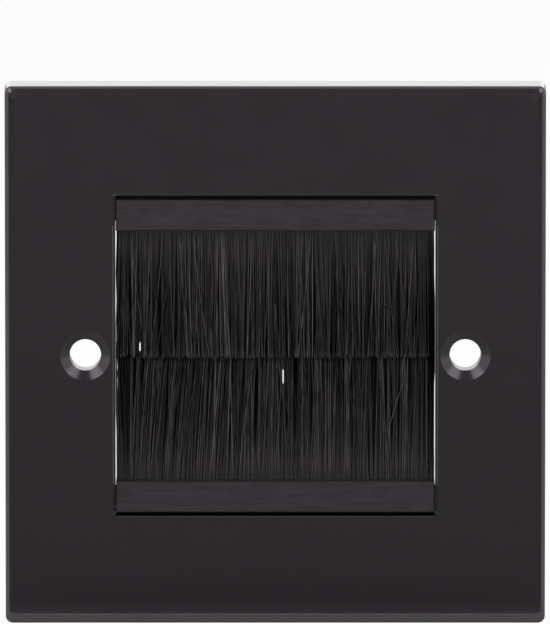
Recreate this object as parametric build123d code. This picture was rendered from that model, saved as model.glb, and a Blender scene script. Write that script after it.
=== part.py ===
from build123d import *
import math
import os

# Brush outlet cover: a single-gang wall plate with a square aperture, in which two moulded
# holders each grip a strip brush. The two brushes meet at mid-height, so cables can pass
# through and the gap stays closed. Front faces -Y, the wall is at Y = 0, +Z is up.
# Distances called "out" are measured from the wall plane towards the room.

# Wall plate
plate_width = 86.0
plate_height = 86.0
plate_depth = 8.0
plate_corner_radius = 1.25
side_draft = 1.0
face_thickness = 2.4
side_wall = 2.0
bevel_width = 1.4
bevel_drop = 0.3
bevel_corner_radius = 1.3
edge_roll = 0.6
hollow_corner_radius = 0.6

# Aperture, and the collar behind it
aperture_width = 51.2
aperture_height = 51.0
aperture_corner_radius = 0.5
aperture_edge_roll = 0.3
collar_wall = 1.4
collar_inset = 0.2
collar_setback = 0.6
ledge_thickness = 1.4
ledge_reach = 2.7

# Fixing screws
screw_spacing = 60.3
screw_bore = 5.0
countersink_width = 8.0
countersink_angle = 110.0
boss_width = 9.0
boss_setback = 2.5

# Stiffening ribs on the back of the face
rib_height = 2.0
rib_thickness = 1.2
rib_offset = 17.0

# Brush holders
holder_height = 5.0
holder_end_gap = 0.3
holder_top_gap = 0.65
holder_bottom_gap = 0.35
holder_recess = 0.25
holder_edge_roll = 0.25
holder_lip = 0.7
mouth_width = 2.0

# Snap bumps on the holders' ends, and the windows that they catch in
bump_reach = 0.9
bump_length = 2.6
bump_depth = 1.2
window_clearance = 0.15

# Strip brushes: a pinched metal channel, a core wire and the filaments folded round it
channel_width = 3.0
channel_height = 3.1
channel_wall = 0.4
channel_pinch = 0.3
channel_pinch_height = 0.9
channel_clearance = 0.05
channel_end_inset = 0.2
core_wire_width = 1.0

# Filament fringe
fringe_layers = 3
layer_thickness = 0.42
layer_pitch = 0.55
layer_splay = 1.6
layer_stagger = 0.7
tooth_pitch = 0.64
tooth_root_gap = 0.1
tooth_tip_gap = 0.22
tooth_lean_share = 0.85
tip_gap = 0.1
tip_scatter = 0.5
fringe_root_overlap = 0.6
fringe_root_band = 0.5

# Where things lie
face_back = plate_depth - face_thickness
ledge_front = collar_setback + ledge_thickness
holder_front = plate_depth - holder_recess
holder_depth = holder_front - ledge_front
holder_width = aperture_width - 2 * holder_end_gap
collar_inside = aperture_width - 2 * collar_inset
brush_out = ledge_front + holder_depth / 2
brush_stack_height = aperture_height - holder_top_gap - holder_bottom_gap
stack_bottom = -aperture_height / 2 + holder_bottom_gap
stack_middle = stack_bottom + brush_stack_height / 2
bristle_reach = brush_stack_height / 2 - holder_height - tip_gap / 2
channel_length = holder_width - 2 * channel_end_inset
golden_step = (math.sqrt(5) - 1) / 2


def draft_loss(out):
    # How much an outline shrinks on each side between the wall plane and this height
    return out * math.tan(math.radians(side_draft))


def plate_outline(out, inset, radius):
    # The plate's outline at a height above the wall, moved inwards by inset on every side
    loss = 2 * (draft_loss(out) + inset)
    return Plane.XZ.offset(out) * RectangleRounded(plate_width - loss, plate_height - loss, radius)


def drafted(inset, radius, height):
    # A block on the wall plane whose sides lean in with the draft
    return extrude(plate_outline(0, inset, radius), height, taper=side_draft)


def slab(width, height, out_from, out_to, x=0, z=0):
    # A block parallel to the wall between two heights above it
    return extrude(Plane.XZ.offset(out_from) * Pos(x, z) * Rectangle(width, height), out_to - out_from)


def round_bar(width, out_from, out_to, x=0, z=0):
    # A cylinder square to the wall between two heights above it
    return extrude(Plane.XZ.offset(out_from) * Pos(x, z) * Circle(width / 2), out_to - out_from)


def edges_at(solid, out):
    # The edges that lie wholly at one height above the wall
    near = 0.001
    return solid.edges().filter_by_position(Axis.Y, -out - near, -out + near)


# Wall plate


def plate_shell():
    # Drafted block with a shallow bevel round its face and a rolled outer edge, hollow behind
    bevel_start = plate_depth - bevel_drop
    block = drafted(0, plate_corner_radius, bevel_start)
    bevel = loft(
        [
            plate_outline(bevel_start, 0, plate_corner_radius - draft_loss(bevel_start)),
            plate_outline(plate_depth, bevel_width, bevel_corner_radius),
        ],
        ruled=True,
    )
    shell = block + bevel
    shell = fillet(edges_at(shell, bevel_start), edge_roll)
    return shell - drafted(side_wall, hollow_corner_radius, face_back)


def collar():
    # Square tube behind the aperture, a close fit on the holders' ends, with the ledges they sit on
    width = collar_inside + 2 * collar_wall
    height = aperture_height + 2 * collar_wall
    tube = slab(width, height, collar_setback, face_back)
    inside = slab(collar_inside, aperture_height, collar_setback, face_back)
    ledges = [
        slab(
            collar_inside,
            ledge_reach,
            collar_setback,
            ledge_front,
            z=side * (aperture_height - ledge_reach) / 2,
        )
        for side in (1, -1)
    ]
    return tube - inside + ledges


def screw_boss(side):
    return round_bar(boss_width, boss_setback, face_back, x=side * screw_spacing / 2)


def screw_cut(side):
    # Bore, with a countersink at the face
    x = side * screw_spacing / 2
    bore = round_bar(screw_bore, boss_setback, plate_depth, x=x)
    sink_depth = (countersink_width - screw_bore) / 2 / math.tan(math.radians(countersink_angle / 2))
    sink = Cone(screw_bore / 2, countersink_width / 2, sink_depth)
    return bore + Plane.XZ.offset(plate_depth - sink_depth / 2) * Pos(x, 0) * sink


def stiffening_ribs():
    # Low ribs from the collar, and from the screw bosses, out to the side walls
    rib_back = face_back - rib_height
    wall_x = plate_width / 2 - side_wall - draft_loss(rib_back)
    wall_z = plate_height / 2 - side_wall - draft_loss(rib_back)
    collar_x = collar_inside / 2 + collar_wall
    collar_z = aperture_height / 2 + collar_wall
    boss_x = screw_spacing / 2 + (screw_bore + boss_width) / 4
    ribs = []
    for side in (1, -1):
        ribs.append(
            slab(
                wall_x - boss_x, rib_thickness, rib_back, face_back, x=side * (wall_x + boss_x) / 2
            )
        )
        for offset in (rib_offset, -rib_offset):
            ribs.append(
                slab(
                    rib_thickness,
                    wall_z - collar_z,
                    rib_back,
                    face_back,
                    x=offset,
                    z=side * (wall_z + collar_z) / 2,
                )
            )
            ribs.append(
                slab(
                    wall_x - collar_x,
                    rib_thickness,
                    rib_back,
                    face_back,
                    x=side * (wall_x + collar_x) / 2,
                    z=offset,
                )
            )
    return ribs


def snap_windows():
    # Openings through the collar's side walls, just in front of the ledges
    bump = bump_span()
    windows = []
    for side in (1, -1):
        for z in (holder_middle(1), holder_middle(-1)):
            windows.append(
                slab(
                    collar_wall,
                    bump_length + 2 * window_clearance,
                    bump[0] - window_clearance,
                    bump[1] + window_clearance,
                    x=side * (collar_inside + collar_wall) / 2,
                    z=z,
                )
            )
    return windows


def face_plate():
    aperture = extrude(
        Plane.XZ.offset(face_back)
        * RectangleRounded(aperture_width, aperture_height, aperture_corner_radius),
        face_thickness,
    )
    plate = plate_shell() + screw_boss(1) + screw_boss(-1) + stiffening_ribs()
    plate = plate + collar()
    plate = plate - slab(collar_inside, aperture_height, ledge_front, face_back)
    plate = plate - aperture - screw_cut(1) - screw_cut(-1) - snap_windows()
    rim = [
        edge
        for edge in edges_at(plate, plate_depth)
        if abs(edge.center().X) <= aperture_width / 2 + 0.001
        and abs(edge.center().Z) <= aperture_height / 2 + 0.001
    ]
    return fillet(rim, aperture_edge_roll)


# Brush holders


def holder_middle(side):
    # Height of a holder's middle: side is 1 for the upper one and -1 for the lower one
    return stack_middle + side * (brush_stack_height - holder_height) / 2


def bump_span():
    # The snap bump's rear and front, out from the wall
    rear = ledge_front + window_clearance
    return rear, rear + bump_depth


def snap_bump(side):
    # Wedge on a holder's end: a ramp that leads in, and a square shoulder that holds
    rear, front = bump_span()
    end = holder_width / 2
    tip = end + bump_reach
    ramp = Polyline((end, -rear), (tip, -rear - bump_depth / 2), (tip, -front), (end, -front), close=True)
    bump = extrude(Plane.XY * make_face(ramp), bump_length / 2, both=True)
    return bump if side > 0 else mirror(bump, Plane.YZ)


def brush_holder():
    # Bar with a T slot along its lower face, modelled with its middle at Z = 0 and open downwards
    bar = slab(holder_width, holder_height, ledge_front, holder_front)
    bar = fillet(edges_at(bar, holder_front), holder_edge_roll)
    slot_width = channel_width + 2 * channel_clearance
    slot_height = channel_height + channel_clearance
    slot_bottom = -holder_height / 2 + holder_lip
    slot = slab(
        holder_width,
        slot_height,
        brush_out - slot_width / 2,
        brush_out + slot_width / 2,
        z=slot_bottom + slot_height / 2,
    )
    mouth = slab(
        holder_width,
        holder_lip,
        brush_out - mouth_width / 2,
        brush_out + mouth_width / 2,
        z=-holder_height / 2 + holder_lip / 2,
    )
    return bar - slot - mouth + snap_bump(1) + snap_bump(-1)


# Strip brushes


def channel_face(inset):
    # Section of the pinched channel, filled, moved inwards by inset, its mouth at Z = 0
    half = channel_width / 2 - inset
    pinched = half - channel_pinch
    spring = channel_height - channel_width / 2
    outline = [
        Line((pinched, 0), (half, channel_pinch_height)),
        Line((half, channel_pinch_height), (half, spring)),
        ThreePointArc((half, spring), (0, spring + half), (-half, spring)),
        Line((-half, spring), (-half, channel_pinch_height)),
        Line((-half, channel_pinch_height), (-pinched, 0)),
        Line((-pinched, 0), (pinched, 0)),
    ]
    return make_face(outline)


def along_brush(face, length):
    # Carries a section drawn in (out, up) along X, centred, with its mouth on the holder's lip
    place = Plane(
        origin=(0, -brush_out, -holder_height / 2 + holder_lip), x_dir=(0, -1, 0), z_dir=(-1, 0, 0)
    )
    return extrude(place * face, length / 2, both=True)


def core_wire_face():
    return Pos(0, channel_height - channel_width / 2) * Circle(core_wire_width / 2)


def crimp_channel():
    return along_brush(channel_face(0) - channel_face(channel_wall), channel_length)


def core_wire():
    return along_brush(core_wire_face(), channel_length)


def scatter(index, layer, turns):
    # An even but irregular-looking share from 0 to 1, by golden-ratio steps
    return (index * turns * golden_step + layer / fringe_layers) % 1


def fringe_layer(layer, reach):
    # Outline of one comb of filaments, in its own plane, with its root along 0 and its tips below
    count = int(channel_length / tooth_pitch - (fringe_layers - 1) / fringe_layers) - 1
    shift = (layer - (fringe_layers - 1) / 2) * tooth_pitch / fringe_layers
    half_root = (tooth_pitch - tooth_root_gap) / 2
    half_tip = (tooth_pitch - tooth_tip_gap) / 2
    end = channel_length / 2
    root = -fringe_root_overlap - fringe_root_band
    points = [(-end, 0), (-end, root)]
    for index in range(count + 1):
        middle = (index - count / 2) * tooth_pitch + shift
        lean = (2 * scatter(index, layer, 2) - 1) * tooth_lean_share * tooth_tip_gap / 2
        tip = -fringe_root_overlap - reach + scatter(index, layer, 1) * tip_scatter
        points.append((middle - half_root, root))
        points.append((middle + lean - half_tip, tip))
        points.append((middle + lean + half_tip, tip))
        points.append((middle + half_root, root))
    return points + [(end, root), (end, 0)]


def bristles(side):
    # The folded bundle inside the channel, and the fringe of filaments that hangs from it.
    # The front layers of the two brushes meet a little below the middle, and the rear ones
    # a little above it, so no gap shows between the tips.
    folded = channel_face(channel_wall) - core_wire_face()
    pinched_width = channel_width - 2 * channel_wall - 2 * channel_pinch
    neck = Pos(0, -holder_lip / 2) * Rectangle(pinched_width, holder_lip)
    bundle = along_brush(folded, channel_length) + along_brush(neck, channel_length)
    mouth = Plane(origin=(0, -brush_out, -holder_height / 2), x_dir=(1, 0, 0), z_dir=(0, -1, 0))
    layers = []
    for layer in range(fringe_layers):
        offset = layer - (fringe_layers - 1) / 2
        reach = bristle_reach + side * offset * layer_stagger
        comb = make_face(Polyline(*fringe_layer(layer, reach), close=True))
        comb = extrude(comb, layer_thickness / 2, both=True)
        comb = Pos(0, 0, offset * layer_pitch) * Rot(-offset * layer_splay, 0, 0) * comb
        layers.append(mouth * Pos(0, fringe_root_overlap, 0) * comb)
    return bundle + layers


# Write every piece in its place


def upper(piece):
    return Pos(0, 0, holder_middle(1)) * piece


def lower(piece):
    # The lower brush is the upper one turned half round the depth axis
    return Pos(0, 0, holder_middle(-1)) * Rot(0, 180, 0) * piece


parts = {
    "face_plate": face_plate(),
    "upper_brush_holder": upper(brush_holder()),
    "upper_crimp_channel": upper(crimp_channel()),
    "upper_core_wire": upper(core_wire()),
    "upper_bristles": upper(bristles(1)),
    "lower_brush_holder": lower(brush_holder()),
    "lower_crimp_channel": lower(crimp_channel()),
    "lower_core_wire": lower(core_wire()),
    "lower_bristles": lower(bristles(-1)),
}

os.makedirs("parts", exist_ok=True)
for name, part in parts.items():
    export_step(part, f"parts/{name}.step")
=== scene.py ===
import math

import bpy
import numpy as np
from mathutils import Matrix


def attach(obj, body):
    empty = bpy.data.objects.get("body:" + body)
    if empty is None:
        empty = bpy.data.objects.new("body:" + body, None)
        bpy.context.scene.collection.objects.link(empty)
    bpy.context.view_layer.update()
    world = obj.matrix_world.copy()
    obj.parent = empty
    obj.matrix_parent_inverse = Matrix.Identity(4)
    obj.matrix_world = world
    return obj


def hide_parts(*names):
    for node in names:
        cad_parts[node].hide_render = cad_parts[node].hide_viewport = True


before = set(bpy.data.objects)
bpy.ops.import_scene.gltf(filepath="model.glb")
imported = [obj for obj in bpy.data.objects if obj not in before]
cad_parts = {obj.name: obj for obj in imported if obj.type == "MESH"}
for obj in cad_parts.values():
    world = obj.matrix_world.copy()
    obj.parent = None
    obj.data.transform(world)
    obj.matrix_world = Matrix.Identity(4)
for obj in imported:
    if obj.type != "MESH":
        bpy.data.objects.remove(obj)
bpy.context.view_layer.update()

# Brush outlet cover: a gloss square plate whose opening is closed by two facing strip brushes.
# Metres, face towards -Y, wall behind at Y = 0, +Z up.


viewSetup = {
    "distance": 2.0,             # lens to the plate's face
    "elevation": 6.6,            # degrees above the horizon
    "seenWidth": 0.0872,         # width of the frame at the face
    "aim": (-0.00005, -0.008, 0.00696),
    "sensor": 36,                # width of the sensor, mm
    "clip": (0.01, 50),          # nearest and furthest that the lens sees
}


def addObject(name, data):
    made = bpy.data.objects.new(name, data)
    bpy.context.scene.collection.objects.link(made)
    return made


def makeCamera(setup):
    # stands off from the aim point by distance, raised by elevation, and looks straight back at it
    tilt = math.radians(setup["elevation"])
    x, y, z = setup["aim"]
    data = bpy.data.cameras.new("viewCamera")
    data.sensor_fit = "HORIZONTAL"
    data.sensor_width = setup["sensor"]
    data.lens = setup["sensor"] * setup["distance"] / setup["seenWidth"]
    data.clip_start, data.clip_end = setup["clip"]
    camera = addObject("viewCamera", data)
    camera.location = (x, y - setup["distance"] * math.cos(tilt),
                       z + setup["distance"] * math.sin(tilt))
    camera.rotation_euler = (math.pi / 2 - tilt, 0, 0)
    bpy.context.scene.camera = camera


makeCamera(viewSetup)
bpy.context.scene.view_settings.view_transform = "Standard"
print("camera placed")


class Signal:
    # a socket that takes part in sums: each operator on it lays one Math node
    def __init__(self, recipe, socket):
        self.recipe, self.socket = recipe, socket

    def __add__(self, other):
        return self.recipe.maths("ADD", self, other)

    def __sub__(self, other):
        return self.recipe.maths("SUBTRACT", self, other)

    def __rsub__(self, other):
        return self.recipe.maths("SUBTRACT", other, self)

    def __mul__(self, other):
        return self.recipe.maths("MULTIPLY", self, other)

    def __pow__(self, other):
        return self.recipe.maths("POWER", self, other)

    def __lt__(self, other):
        return self.recipe.maths("LESS_THAN", self, other)

    def __gt__(self, other):
        return self.recipe.maths("GREATER_THAN", self, other)

    def __abs__(self):
        return self.recipe.maths("ABSOLUTE", self)

    __radd__, __rmul__ = __add__, __mul__


class Recipe:
    # one node tree, of a material or of the world; node() lays any node in it
    def __init__(self, owner):
        owner.use_nodes = True
        self.owner, self.tree = owner, owner.node_tree
        self.tree.nodes.clear()

    def node(self, kind, settings=None, sockets=None, output=0):
        # kind without its ShaderNode prefix; settings first, then the sockets' values or links;
        # gives one output
        made = self.tree.nodes.new("ShaderNode" + kind)
        for name, value in (settings or {}).items():
            if name == "stops":
                ramp = made.color_ramp
                while len(ramp.elements) < len(value):
                    ramp.elements.new(0.5)
                for element, (place, tone) in zip(ramp.elements, value):
                    element.position, element.color = place, (tone, tone, tone, 1)
            else:
                setattr(made, name, value)
        for name, value in (sockets or {}).items():
            if isinstance(value, Signal):
                self.tree.links.new(value.socket, made.inputs[name])
            else:
                made.inputs[name].default_value = value
        return Signal(self, made.outputs[output] if made.outputs else None)

    def maths(self, operation, first, second=0.0):
        return self.node("Math", {"operation": operation}, {0: first, 1: second})

    def between(self, value, low, high):
        # 0 short of low, 1 past high, smooth on the way
        return self.node("MapRange", {"interpolation_type": "SMOOTHSTEP"},
                         {0: value, 1: low, 2: high})

    def weigh(self, share, first, second):
        # so much of the first signal, and the rest of the second
        return first * share + second * (1 - share)

    def mixColour(self, factor, first, second):
        return self.node("Mix", {"data_type": "RGBA"}, {0: factor, 6: first, 7: second}, 2)

    def shades(self, factor, tone, spread, warmth):
        # a grey that goes from the lower to the higher multiple of its tone
        low, high = spread
        return self.mixColour(factor, grey(tone * low, warmth), grey(tone * high, warmth))

    def objectPlace(self, stretch=(1, 1, 1)):
        # the piece's own coordinates in metres, times stretch along each axis
        place = self.node("TexCoord", output="Object")
        return self.node("Mapping", sockets={"Vector": place, "Scale": stretch})

    def noise(self, place, scale, detail=2.0, rough=0.5):
        return self.node("TexNoise", sockets={"Vector": place, "Scale": scale, "Detail": detail,
                                              "Roughness": rough})

    def bump(self, height, depth):
        return self.node("Bump", sockets={"Height": height, "Distance": depth, "Strength": 1.0})

    def surface(self, **sockets):
        # the finished surface, from the main shader's sockets by name, with _ for each space
        named = {"Specular IOR Level": 0.5, "IOR": 1.5}
        named.update({name.replace("_", " "): value for name, value in sockets.items()})
        shader = self.node("BsdfPrincipled", sockets=named)
        self.node("OutputMaterial", sockets={"Surface": shader})
        return self.owner


def newFinish(name):
    return Recipe(bpy.data.materials.new(name))


def grey(level, warmth=(1, 1, 1)):
    return tuple(level * part for part in warmth) + (1,)


studio = {
    "floorHeight": -0.04301,
    "floorHalf": 4.0,
    "floorTone": 0.68,
    "seenShare": 0.95,           # how far the floor is drawn to full white for the lens
    "mirrorShare": 0.0,          # the same for what gloss surfaces show of it
    "skyFill": 0.45,             # level of the sky as the object's light
    # its level by height, as the lens and gloss surfaces show it
    "skyStops": [(0.20, 1.0), (0.42, 0.60), (0.85, 0.38)],
    # lamp: place, width and height, watts
    "lamps": {
        "leftBox": ((-0.56, -0.40, 0.72), (0.60, 0.46), 4.2),
        "rightBox": ((0.58, -0.40, 0.70), (0.60, 0.46), 3.8),
        "leftPanel": ((-0.90, -0.36, 0.20), (0.60, 0.80), 1.7),
        "rightPanel": ((0.92, -0.34, 0.20), (0.60, 0.80), 1.7),
        "faceFill": ((0.0, -1.90, 0.05), (0.50, 0.22), 4.5),
        "topFill": ((0.0, 0.55, 0.90), (0.80, 0.40), 2.5),
        "backPanel": ((0.0, 2.00, 0.24), (2.40, 0.36), 1.4),
    },
}


def lightPathShare(recipe, lens, mirror):
    # lens for a ray straight from the camera, mirror for one off a gloss or through glass, 0 for
    # the rest
    path = recipe.node("LightPath").socket.node.outputs
    gloss = Signal(recipe, path["Is Glossy Ray"]) + Signal(recipe, path["Is Transmission Ray"])
    return Signal(recipe, path["Is Camera Ray"]) * lens + gloss * mirror


def makeSky(setup):
    sky = bpy.data.worlds.new("studioSky")
    bpy.context.scene.world = sky
    recipe = Recipe(sky)
    way = recipe.node("TexCoord", output="Generated")
    height = recipe.node("SeparateXYZ", sockets={0: way}, output="Z")
    shade = recipe.node("ValToRGB", {"stops": setup["skyStops"]}, {0: height})
    fill = recipe.node("Background", sockets={"Color": grey(1.0), "Strength": setup["skyFill"]})
    seen = recipe.node("Background", sockets={"Color": shade, "Strength": 1.0})
    both = recipe.node("MixShader", sockets={
        0: lightPathShare(recipe, 1.0, 1.0), 1: fill, 2: seen})
    recipe.node("OutputWorld", sockets={"Surface": both})


def makeFloor(setup):
    # a flat square: x and y run over the grid, z stays at the floor's height
    half = setup["floorHalf"]
    x, y = np.meshgrid([-half, half], [-half, half])
    corners = np.stack([x, y, np.full_like(x, setup["floorHeight"])], -1).reshape(-1, 3)
    mesh = bpy.data.meshes.new("studioFloor")
    mesh.from_pydata(corners.tolist(), [], [(0, 1, 3, 2)])
    recipe = newFinish("paleFloor")
    lit = recipe.node("BsdfDiffuse", sockets={"Color": grey(setup["floorTone"])})
    white = recipe.node("Emission", sockets={"Color": grey(1.0), "Strength": 1.0})
    both = recipe.node("MixShader", sockets={
        0: lightPathShare(recipe, setup["seenShare"], setup["mirrorShare"]), 1: lit, 2: white})
    recipe.node("OutputMaterial", sockets={"Surface": both})
    mesh.materials.append(recipe.owner)
    floor = addObject("studioFloor", mesh)


def makeLamp(name, place, size, watts):
    # an oblong lamp that faces the middle of the plate, its height running upwards
    data = bpy.data.lights.new(name, "AREA")
    data.shape, data.energy = "RECTANGLE", watts
    data.size, data.size_y = size
    lamp = addObject(name, data)
    lamp.location = place
    away = np.array(place) / np.linalg.norm(place)
    lamp.rotation_euler = (math.acos(away[2]), 0, math.atan2(away[1], away[0]) + math.pi / 2)


makeSky(studio)
makeFloor(studio)
for lampName, lampFacts in studio["lamps"].items():
    makeLamp(lampName, *lampFacts)
print("sky, floor and lamps placed")


# Finishes of the carried-over solids. A spread is the least and most that a tone is multiplied
# by. A stretch draws a pattern out, the smaller the further, and a scale is how fine it is.

plateFinish = {
    "warmth": (1.02, 0.92, 1.02), "glint": (1.0, 0.89, 1.0, 1), "ior": 1.41,
    # the face: its tone at the foot and its tone at the top, painted lighter there as painted
    # light; their heights, and the power of its rise
    "tone": 0.0008, "paintedTopLight": 0.0068, "footHeight": -0.043, "topHeight": 0.043, "paintedLightRise": 2.6,
    "spread": (0.82, 1.18), "flowStretch": 0.45, "flowScale": 38,
    "roughness": 0.055, "haze": 0.05, "cloudScale": 210,
    "peel": 0.000004, "peelScale": 900,
    # the foot's bevel: the tone of its painted highlight at its outer end, and the heights where it
    # sets in and is full
    "bevelHighlightTone": 0.010, "bevelFrom": -0.0385, "bevelTo": -0.0413,
    # the rim on the rolled front edge, rougher and with a painted highlight: the tone of that
    # highlight and how patchy it is, where it starts and is full, how far back it goes, its shift
    # towards the foot, its added width above and below, and its rounding
    "rimHighlightTone": 0.050, "rimPatch": 0.5, "rimFrom": 0.04216, "rimTo": 0.04234, "rimDepth": -0.0072,
    "rimShift": 0.00060, "rimAdded": 0.00036, "rimBlend": 0.0012, "rimRoughness": 0.16,
    # the upper corners' glint: its tone, its place, and how far from there it ends and is full
    "cornerTone": 0.15, "corner": (0.04204, 0.04220), "cornerFade": (0.00040, 0.00016),
    # the opening: half its width and height, and the width and added roughness of its rolled edge
    "opening": (0.0256, 0.0255), "rollWidth": 0.00022, "rollRoughness": 0.30,
    # the painted highlight line on that edge: its tone, how high it runs beside the brushes, and
    # its width above them
    "rollHighlightTone": 0.042, "lineHeight": 0.0207, "topLine": 0.00016,
    # the lower lip, which mirrors less: its width, how much of it is full, and the share
    "lipWidth": 0.00044, "lipFull": 0.0002, "lipShare": 0.65,
    # the screw countersinks, whose tone is painted paler as painted light
    "holePlace": 0.03015, "sinkRadius": 0.0041, "sinkDepth": -0.00797, "sinkLightTone": 0.014,
    "sinkRoughness": 0.14,
}


def glossPlastic(setup):
    # moulded gloss: the tone is painted lighter with height, as painted light, with slow flow marks
    # and haze over a faint orange peel. The foot's bevel has a painted highlight, and so has the
    # rougher rim on the rolled front edge, which is wider at the foot and has painted glints at the
    # upper corners. The opening's rolled edge is dull, with a painted highlight line beside the
    # brushes and above them and a darker lip below. The screw countersinks are duller and a little
    # paler, as painted light
    recipe = newFinish("glossPlate")
    place = recipe.objectPlace()
    x, y, z = (recipe.node("SeparateXYZ", sockets={0: place}, output=axis) for axis in "XYZ")
    side, level, front = abs(x), abs(z), y < setup["rimDepth"]
    flow = recipe.noise(recipe.objectPlace((1.0, 1.0, setup["flowStretch"])),
                        setup["flowScale"], detail=3)
    cloud = recipe.noise(place, setup["cloudScale"])
    peel = recipe.noise(place, setup["peelScale"], detail=1)

    high = abs(z - setup["rimShift"]) + setup["rimAdded"]
    reach = recipe.node("Math", {"operation": "SMOOTH_MAX"},
                        {0: side, 1: high, 2: setup["rimBlend"]})
    rim = recipe.between(reach, setup["rimFrom"], setup["rimTo"]) * front
    cornerX, cornerZ = setup["corner"]
    fromCorner = ((side - cornerX) ** 2 + (z - cornerZ) ** 2) ** 0.5
    corner = recipe.between(fromCorner, *setup["cornerFade"]) * front
    bevel = recipe.between(z, setup["bevelFrom"], setup["bevelTo"]) ** 2 * front

    halfWidth, halfHeight = setup["opening"]
    beside, above = side - halfWidth, level - halfHeight
    past, flank = recipe.maths("MAXIMUM", beside, above), beside > above
    roll = (past < setup["rollWidth"]) * front
    line = roll * (flank * (level < setup["lineHeight"])
                   + (1 - flank) * (above < setup["topLine"]) * (z > 0))
    lip = recipe.between(past, setup["lipWidth"], setup["lipFull"]) * front
    lip = lip * (1 - flank) * (z < 0)
    away = ((side - setup["holePlace"]) ** 2 + z ** 2) ** 0.5
    sink = (away < setup["sinkRadius"]) * (y > setup["sinkDepth"])

    foot, top = (recipe.shades(flow, tone, setup["spread"], setup["warmth"])
                 for tone in (setup["tone"], setup["paintedTopLight"]))
    # painted light: the face's tone rises from the foot to the top, lighter where the light falls
    # stronger
    rise = recipe.between(z, setup["footHeight"], setup["topHeight"]) ** setup["paintedLightRise"]
    patchy = cloud * setup["rimPatch"] + (1 - setup["rimPatch"] / 2)
    colour = recipe.mixColour(rise, foot, top)
    # painted highlights on the bevel, the rim, the opening's line and the upper corners, and
    # painted light in the countersinks
    for mask, tone in ((bevel, "bevelHighlightTone"), (rim * patchy, "rimHighlightTone"), (line, "rollHighlightTone"),
                       (sink, "sinkLightTone"), (corner, "cornerTone")):
        colour = recipe.mixColour(mask, colour, grey(setup[tone], setup["warmth"]))
    roughness = (cloud * setup["haze"] + rim * setup["rimRoughness"]
                 + roll * setup["rollRoughness"] + sink * setup["sinkRoughness"]
                 + setup["roughness"])
    return recipe.surface(
        Base_Color=colour, Roughness=roughness, Metallic=lip * setup["lipShare"],
        Normal=recipe.bump(peel, setup["peel"]), IOR=setup["ior"], Specular_Tint=setup["glint"])


holderFinish = {
    "warmth": (1.03, 0.92, 1.03), "glint": (1.0, 0.89, 1.0, 1), "ior": 1.30,
    "tone": 0.0138, "spread": (0.70, 1.30),
    # streaks and mottle, the streaks' share of the two, and where they are darkest and palest
    "streakStretch": 0.035, "streakScale": 2600, "mottleStretch": 0.5, "mottleScale": 700,
    "streakShare": 0.5, "darkest": 0.36, "palest": 0.64,
    # speckle, what it adds to the roughness, its share of the grain, and the grain's depth
    "speckleScale": 5200, "speckleRoughness": 0.12, "speckleShare": 0.6, "grain": 0.000016,
    "roughness": 0.40,
}


def satinPlastic(setup):
    # drawn satin: streaks along X over a soft mottle, and a fine speckle in the bump
    recipe = newFinish("satinHolder")
    streak = recipe.noise(recipe.objectPlace((setup["streakStretch"], 1.0, 1.0)),
                          setup["streakScale"], detail=3)
    mottle = recipe.noise(recipe.objectPlace((setup["mottleStretch"], 1.0, 1.0)),
                          setup["mottleScale"], detail=3, rough=0.6)
    speckle = recipe.noise(recipe.objectPlace(), setup["speckleScale"], rough=0.7)
    shade = recipe.between(recipe.weigh(setup["streakShare"], streak, mottle),
                           setup["darkest"], setup["palest"])
    grain = recipe.weigh(setup["speckleShare"], speckle, streak)
    return recipe.surface(
        Base_Color=recipe.shades(shade, setup["tone"], setup["spread"], setup["warmth"]),
        Roughness=speckle * setup["speckleRoughness"] + setup["roughness"],
        Normal=recipe.bump(grain, setup["grain"]), IOR=setup["ior"],
        Specular_Tint=setup["glint"])


channelFinish = {
    "tone": 0.56, "spread": (0.80, 1.15), "warmth": (0.97, 0.99, 1.0),
    "lineStretch": 0.02, "lineScale": 6000, "patchScale": 500, "lineShare": 0.6,
    "roughness": 0.30, "lineRoughness": 0.16, "brush": 0.000004,
}


def rolledSteel(setup):
    # rolled strip: long fine lines along X in tone, roughness and bump
    recipe = newFinish("rolledSteel")
    line = recipe.noise(recipe.objectPlace((setup["lineStretch"], 1.0, 1.0)),
                        setup["lineScale"], detail=3)
    patch = recipe.noise(recipe.objectPlace(), setup["patchScale"])
    shade = recipe.weigh(setup["lineShare"], line, patch)
    return recipe.surface(
        Base_Color=recipe.shades(shade, setup["tone"], setup["spread"], setup["warmth"]),
        Metallic=1.0, Roughness=line * setup["lineRoughness"] + setup["roughness"],
        Normal=recipe.bump(line, setup["brush"]))


wireFinish = {
    "tone": 0.50, "spread": (0.85, 1.10), "warmth": (0.98, 0.99, 1.0),
    "lineStretch": 0.01, "lineScale": 9000, "patchScale": 900,
    "roughness": 0.24, "patchRoughness": 0.18, "draw": 0.000003,
}


def drawnWire(setup):
    # drawn wire: die lines along X and a faint dull patching
    recipe = newFinish("drawnWire")
    line = recipe.noise(recipe.objectPlace((setup["lineStretch"], 1.0, 1.0)), setup["lineScale"])
    patch = recipe.noise(recipe.objectPlace(), setup["patchScale"])
    return recipe.surface(
        Base_Color=recipe.shades(patch, setup["tone"], setup["spread"], setup["warmth"]),
        Metallic=1.0, Roughness=patch * setup["patchRoughness"] + setup["roughness"],
        Normal=recipe.bump(line, setup["draw"]))


def dress(finish, *nodes):
    for node in nodes:
        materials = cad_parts[node].data.materials
        materials.clear()
        materials.append(finish)


dress(glossPlastic(plateFinish), "face_plate")
dress(satinPlastic(holderFinish), "upper_brush_holder", "lower_brush_holder")
dress(rolledSteel(channelFinish), "upper_crimp_channel", "lower_crimp_channel")
dress(drawnWire(wireFinish), "upper_core_wire", "lower_core_wire")
print("plate, holders, channels and wires dressed")


# The fringes and the loose strand are laid out in mm. A station is a share of a strand's length,
# from the grip to the tip.

mm = 0.001
strandSides = 4                  # a cap then has as many corners as a wall's face

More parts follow.
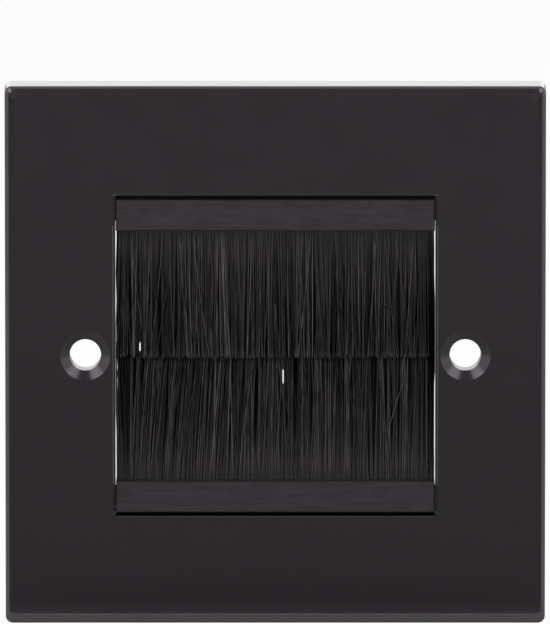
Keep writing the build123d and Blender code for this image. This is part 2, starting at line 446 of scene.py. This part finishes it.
fringeLook = {
    "width": 25.16,              # half the fringe's width
    "depthPlace": -4.895,        # middle of the fringe in Y
    "rootDepth": 0.66,           # half its depth at the grip
    "tipDepth": 1.12,            # half its depth at the tips
    "fanPower": 0.6,             # power of the station by which it goes from one to the other
    "drift": 0.05,               # how far a tip strays from its layer
    "thick": 0.112,              # strand radius at the grip
    "thin": 0.080,               # strand radius at the tip
    "uneven": (0.7, 1.15),       # least and most that a strand's radius is multiplied by
    # where in its own space a strand and a tuft may stand
    "strandSpace": (0.1, 0.9), "tuftSpace": (0.15, 0.85),
    # how far a strand looks for its tuft, in pitches, and the powers of the station by which
    # pull and lean grow
    "tuftBlur": 0.2, "pullPower": 1.4, "leanPower": 1.25,
    "tuftLean": 0.031, "lean": 0.027, "strayLean": 0.085, "strayShare": 0.18,
    "swayReach": 8.0,            # how far from its place a sway is felt
    "bow": 0.08,
    "partEase": 0.5,             # how far beside the parting strands still give way
    # the ends: the width over which strands come to lean outwards, and how much more they lean
    "sideReach": 1.5, "sideLean": 0.010,
    "sideStop": 25.385,          # the outermost lean out to here and close the side slit
    "sideSlit": 0.12,            # and are held in by this much where it stays open
    "slitEase": 1.0,             # height over which it opens
    "paleSide": -1,              # the end where those strands catch the light
    "paleFrom": 0.6,             # if they lean outwards by more than this share
    # tones: the higher the power, the fewer pale strands; above glossFrom none takes the darker,
    # duller painted-shade finish
    "tonePower": 2.6, "glossFrom": 0.89, "dullShare": 0.5,
    # rank: strands, depth from and to as shares of the half depth, tuft pitch, least and most pull
    "ranks": {
        "front": (620, -1.0, -0.40, 0.42, 0.20, 0.70),
        "core": (960, -0.35, 0.35, 0.5, 0.0, 0.0),
        "back": (560, 0.40, 1.0, 0.8, 0.30, 0.85),
    },
}

upperLook = {
    "seed": 11, "root": 21.6, "tip": -0.46, "ragged": 0.14, "tipForward": -0.32,
    "sway": [(0.0, 0.006)],                              # place and added lean
    "parting": (-21.5, 0.90, 0.955, 0.13),               # place, stations from and to, half-width
    "stations": (0, 0.2, 0.4, 0.6, 0.78, 0.885, 0.90, 0.955, 0.975, 1.0),
    # side, and the heights between which the side slit is open
    "slits": [(-1, 19.9, 14.2), (-1, 9.6, 7.0), (1, 19.9, 10.2)],
    "shiny": [(-8.45, -7.45, 6, 0.30)],                  # place at grip and tip, strands, spread
    # strands beyond darkEnd take the core's painted-shade finish
    "darkEnd": 24.0,                                     # strands beyond this in +X are dull
}
lowerLook = {
    "seed": 29, "root": -21.9, "tip": 0.12, "ragged": 0.16, "tipForward": 0.36,
    "sway": [(-15.0, 0.075)],
    "parting": (1.22, 0.775, 0.87, 0.115),
    "stations": (0, 0.2, 0.4, 0.58, 0.755, 0.775, 0.87, 0.885, 1.0),
    "slits": [(-1, -12.6, -20.9), (1, -3.8, -6.3), (1, -8.2, -17.0)],
    "shiny": [], "darkEnd": 24.2,
}


def tubes(path, radius):
    # each strand is a tube: a point at angle a is path + radius * (cos a * across + sin a * depth),
    # where across and depth stand square to the run of the path; both ends are capped
    sides = strandSides
    run = np.gradient(path, axis=1)
    run /= np.linalg.norm(run, axis=2, keepdims=True)
    across = np.cross(run, (0.0, 1.0, 0.0))
    across /= np.linalg.norm(across, axis=2, keepdims=True)
    depth = np.cross(across, run)
    angle = np.arange(sides) * 2 * math.pi / sides + math.pi / sides
    ring = (np.cos(angle)[:, None] * across[:, :, None, :]
            + np.sin(angle)[:, None] * depth[:, :, None, :])
    points = path[:, :, None, :] + radius[:, :, None, None] * ring
    count, stations = path.shape[:2]
    j, a = np.meshgrid(np.arange(stations - 1), np.arange(sides), indexing="ij")
    after = (a + 1) % sides
    walls = np.stack([j * sides + a, j * sides + after,
                      (j + 1) * sides + after, (j + 1) * sides + a], -1)
    caps = np.array([np.arange(sides)[::-1], np.arange(sides) + (stations - 1) * sides])
    one = np.concatenate([walls.reshape(-1, sides), caps])
    faces = one[None] + (np.arange(count) * stations * sides)[:, None, None]
    return points.reshape(-1, 3), faces.reshape(-1, sides)


def spacedOut(count, width, space, pick):
    # count places from -width to width, each somewhere in the middle of a space of its own
    return (np.arange(count) + pick.uniform(*space, count)) / count * 2 * width - width


def halfDepth(common, s):
    # half the fringe's depth at station s, growing fastest at the grip
    atRoot, atTip = common["rootDepth"], common["tipDepth"]
    return atRoot + (atTip - atRoot) * s ** common["fanPower"]


def parted(x, s, parting, ease):
    # beside the parting each strand keeps to its own side of it, at least half away, and gives way
    # by less the further off it stands
    place, low, high, half = parting
    there = (s >= low) & (s <= high)
    side = np.sign((x - place)[:, there[0]].mean(1))[:, None]
    away = np.maximum((x - place) * side, 0)
    return np.where(there, place + side * (away + half * np.exp(-away / ease)), x)


def heldIn(x, z, radius, common, slits):
    # no strand reaches past the side stop; shut is 1 but for the slit's open stretches, where the
    # strands are held further in
    for side in (-1, 1):
        shut = np.prod([np.clip((abs(z - (top + foot) / 2) - (top - foot) / 2)
                                / common["slitEase"], 0, 1)
                        for own, top, foot in slits if own == side], axis=0)
        stop = common["sideStop"] - radius - common["sideSlit"] * (1 - shut)
        x = side * np.minimum(side * x, stop)
    return x


def rankPaths(common, look, rank, shiny, pick):
    # a strand runs from its place in the grip to its tip: x = start + tuft pull + lean + bow, where
    # pull and lean grow as a power of the station s and the bow is half a sine wave over it; y fans
    # out and goes forward with its square; z runs evenly
    count, near, far, pitch, leastPull, mostPull = rank
    width = common["width"]
    s = np.array(look["stations"])[None, :]
    length = abs(look["tip"] - look["root"])
    start = spacedOut(count, width, common["strandSpace"], pick)
    layer = pick.uniform(near, far, count)
    tuftCount = int(2 * width / pitch)
    tuftX = spacedOut(tuftCount, width, common["tuftSpace"], pick)
    tuftPull = pick.uniform(leastPull, mostPull, tuftCount)
    tuftLean = pick.normal(0, common["tuftLean"], tuftCount) * mostPull
    search = start + pick.normal(0, common["tuftBlur"] * pitch, count)
    mine = abs(search[:, None] - tuftX).argmin(1)
    toTuft = np.clip(tuftX[mine] - start, -pitch, pitch) * tuftPull[mine]

    lean = tuftLean[mine] + pick.normal(0, common["lean"], count) * mostPull
    stray = pick.random(count) < common["strayShare"] * mostPull
    lean[stray] = pick.normal(0, common["strayLean"], stray.sum())
    for place, amount in look["sway"]:
        lean += amount * np.exp(-((start - place) / common["swayReach"]) ** 2)
    atSide = np.clip(1 - (width - abs(start)) / common["sideReach"], 0, 1) * (mostPull > 0)
    lean += atSide * (np.sign(start) * (abs(lean) + common["sideLean"]) - lean)
    bow = pick.normal(0, common["bow"], count) * mostPull
    tone = pick.random(count) ** common["tonePower"]
    first = 0
    for fromX, toX, strands, spread in shiny:
        own = slice(first, first + strands)
        start[own] = fromX + pick.uniform(-spread, spread, strands)
        toTuft[own], bow[own], layer[own], tone[own] = 0, 0, near, 1
        lean[own] = (toX - fromX) / length
        first += strands
    tone[atSide * np.sign(start) * common["paleSide"] > common["paleFrom"]] = 1

    x = (start[:, None] + toTuft[:, None] * s ** common["pullPower"]
         + lean[:, None] * length * s ** common["leanPower"]
         + bow[:, None] * np.sin(math.pi * s))
    x = parted(x, s, look["parting"], common["partEase"])
    tip = look["tip"] + pick.normal(0, look["ragged"], count)
    z = look["root"] + (tip - look["root"])[:, None] * s
    y = (common["depthPlace"] + layer[:, None] * halfDepth(common, s) + look["tipForward"] * s ** 2
         + pick.normal(0, common["drift"], count)[:, None] * s)
    evenRadius = common["thick"] + (common["thin"] - common["thick"]) * s
    radius = evenRadius * pick.uniform(*common["uneven"], count)[:, None]
    x = heldIn(x, z, radius, common, look["slits"])
    return np.stack([x, y, z], -1), radius, tone, start > look["darkEnd"]


def addStrands(name, node, path, radius, tone, along, finishes, which):
    # the strands' tubes as one piece; each point carries its strand's tone and its station, and
    # which gives the finish of each strand
    points, faces = tubes(path, radius)
    mesh = bpy.data.meshes.new(name)
    mesh.from_pydata(points * mm, [], faces)
    shape = path.shape[:2] + (strandSides,)
    for label, values in (("strandTone", tone[:, None, None]), ("along", along[None, :, None])):
        values = np.broadcast_to(values, shape).ravel().astype(np.float32)
        mesh.attributes.new(label, "FLOAT", "POINT").data.foreach_set("value", values)
    for finish in finishes:
        mesh.materials.append(finish)
    mesh.polygons.foreach_set("material_index",
                              np.repeat(which, len(faces) // len(path)).astype(np.int32))
    mesh.shade_smooth()
    piece = addObject(name, mesh)
    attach(piece, "root")
    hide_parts(node)
    print(f"{name} built: strands {len(path)}, faces {len(faces)}")


def makeFringe(name, node, common, look, finishes):
    # the ranks stand one behind the other; some strands take the second finish, a darker, duller
    # copy that is painted shade, and the core and the dark end take the third, painted shade darker
    # still
    pick = np.random.default_rng(look["seed"])
    ranks = {label: rankPaths(common, look, rank, look["shiny"] if label == "front" else [], pick)
             for label, rank in common["ranks"].items()}
    path, radius, tone, atEnd = (np.concatenate(parts) for parts in zip(*ranks.values()))
    inCore = np.concatenate([np.full(len(rank[0]), label == "core")
                             for label, rank in ranks.items()])
    which = (pick.random(len(tone)) < common["dullShare"]) * 1
    which[inCore | atEnd] = 2
    which[tone > common["glossFrom"]] = 0
    addStrands(name, node, path, radius, tone, np.array(look["stations"]), finishes, which)


nylonLook = {
    "warmth": (1.0, 0.92, 1.0), "glint": (1.0, 0.88, 1.0, 1),
    # dull patches, and the twist: where it hides and shows the strand's tone, how much of the
    # tone is left where it hides it, and how much more of it there is where it shows it
    "patchStretch": 0.15, "patchScale": 1500, "patchRoughness": 0.14,
    "twistStretch": 0.10, "twistScale": 2400, "twistLow": 0.36, "twistHigh": 0.64,
    "twistLeft": 0.40, "twistAdded": 1.4,
    # the cut tip, the root and the grip, all painted paler: a painted highlight at the tip, and
    # painted light near the root and the grip, where the holder shades the strands; the higher the
    # power, the shorter the part that is paler
    "tipPower": 45, "tipHighlight": 1.0, "rootPower": 3, "rootPaintedLight": 0.038,
    "gripPower": 18, "gripPaintedLight": 0.23,
}
strandFinish = dict(nylonLook, dark=0.0025, light=0.050, roughness=0.26, wear=0.30, gloss=0.36)
# painted shade: the dull finish is a darker, duller copy for strands lying in shade, the core's
# darker still for the shade deep in the fringe
shadedDullFinish = dict(nylonLook, dark=0.002, light=0.022, roughness=0.42, wear=0.20, gloss=0.12)
shadedCoreFinish = dict(nylonLook, dark=0.0008, light=0.004, roughness=0.55, wear=0.10, gloss=0.05,
                  tipHighlight=0.2, rootPaintedLight=0.036, gripPaintedLight=0.20)
looseFinish = dict(strandFinish, light=0.055)


def nylonStrand(name, setup):
    # each strand has its own tone, which comes and goes along it as it twists, and is duller the
    # darker it is; all are painted paler at the cut tip, as a painted highlight, and where they
    # leave the grip, as painted light where the holder shades them
    recipe = newFinish(name)
    tone, along = (recipe.node("Attribute", {"attribute_name": label}, output="Fac")
                   for label in ("strandTone", "along"))
    patch, twist = (recipe.noise(recipe.objectPlace((1.0, 1.0, setup[kind + "Stretch"])),
                                 setup[kind + "Scale"]) for kind in ("patch", "twist"))
    twist = recipe.between(twist, setup["twistLow"], setup["twistHigh"])
    tone = tone * (twist * setup["twistAdded"] + setup["twistLeft"])
    dark, light, root, grip = (grey(setup[part], setup["warmth"])
                               for part in ("dark", "light", "rootPaintedLight", "gripPaintedLight"))
    # painted highlight at the cut tip
    colour = recipe.mixColour(tone + along ** setup["tipPower"] * setup["tipHighlight"], dark, light)
    # painted light near the root and the grip, where the holder shades the strands
    colour = recipe.mixColour((1 - along) ** setup["rootPower"], colour, root)
    colour = recipe.mixColour((1 - along) ** setup["gripPower"], colour, grip)
    roughness = (patch * setup["patchRoughness"] + (1 - twist * tone) * setup["wear"]
                 + setup["roughness"])
    return recipe.surface(Base_Color=colour, Roughness=roughness,
                          Specular_IOR_Level=setup["gloss"], Specular_Tint=setup["glint"])


nylons = [nylonStrand("nylonStrand", strandFinish), nylonStrand("nylonShadedDull", shadedDullFinish),
          nylonStrand("nylonShadedCore", shadedCoreFinish)]
makeFringe("upperFringe", "upper_bristles", fringeLook, upperLook, nylons)
makeFringe("lowerFringe", "lower_bristles", fringeLook, lowerLook, nylons)


looseLook = {
    # across and height of the crinkled strand, from the grip to the tip
    "line": [(18.1, -21.9), (17.95, -19.9), (17.95, -18.4), (17.85, -16.0), (17.7, -14.4),
             (18.1, -13.2), (18.0, -12.2), (18.4, -10.6), (18.9, -9.0), (19.3, -7.3),
             (19.85, -6.0), (20.3, -4.6), (20.25, -3.5), (20.2, -2.1), (20.5, -0.6)],
    "radius": 0.085,
    "proud": 0.13,               # how far it stands off the fringe
    "rise": 5,                   # and how fast it comes to do so, from the grip
    "tone": 1.0,
    "mostAlong": 0.9,            # its last station, short of the painted highlight at the cut tip
}


def makeLoose(name, node, common, look, loose, finish):
    # one crinkled strand that lies on the front of its fringe: y follows the fringe's front at
    # each height
    x, z = np.array(loose["line"]).T
    s = (z - look["root"]) / (look["tip"] - look["root"])
    y = (common["depthPlace"] - halfDepth(common, s) + look["tipForward"] * s ** 2
         - loose["proud"] * np.minimum(s * loose["rise"], 1))
    path = np.stack([x, y, z], -1)[None]
    radius = np.full((1, len(s)), loose["radius"])
    addStrands(name, node, path, radius, np.array([loose["tone"]]), s * loose["mostAlong"],
               [finish], [0])


makeLoose("looseStrand", "lower_bristles", fringeLook, lowerLook, looseLook,
          nylonStrand("nylonLoose", looseFinish))
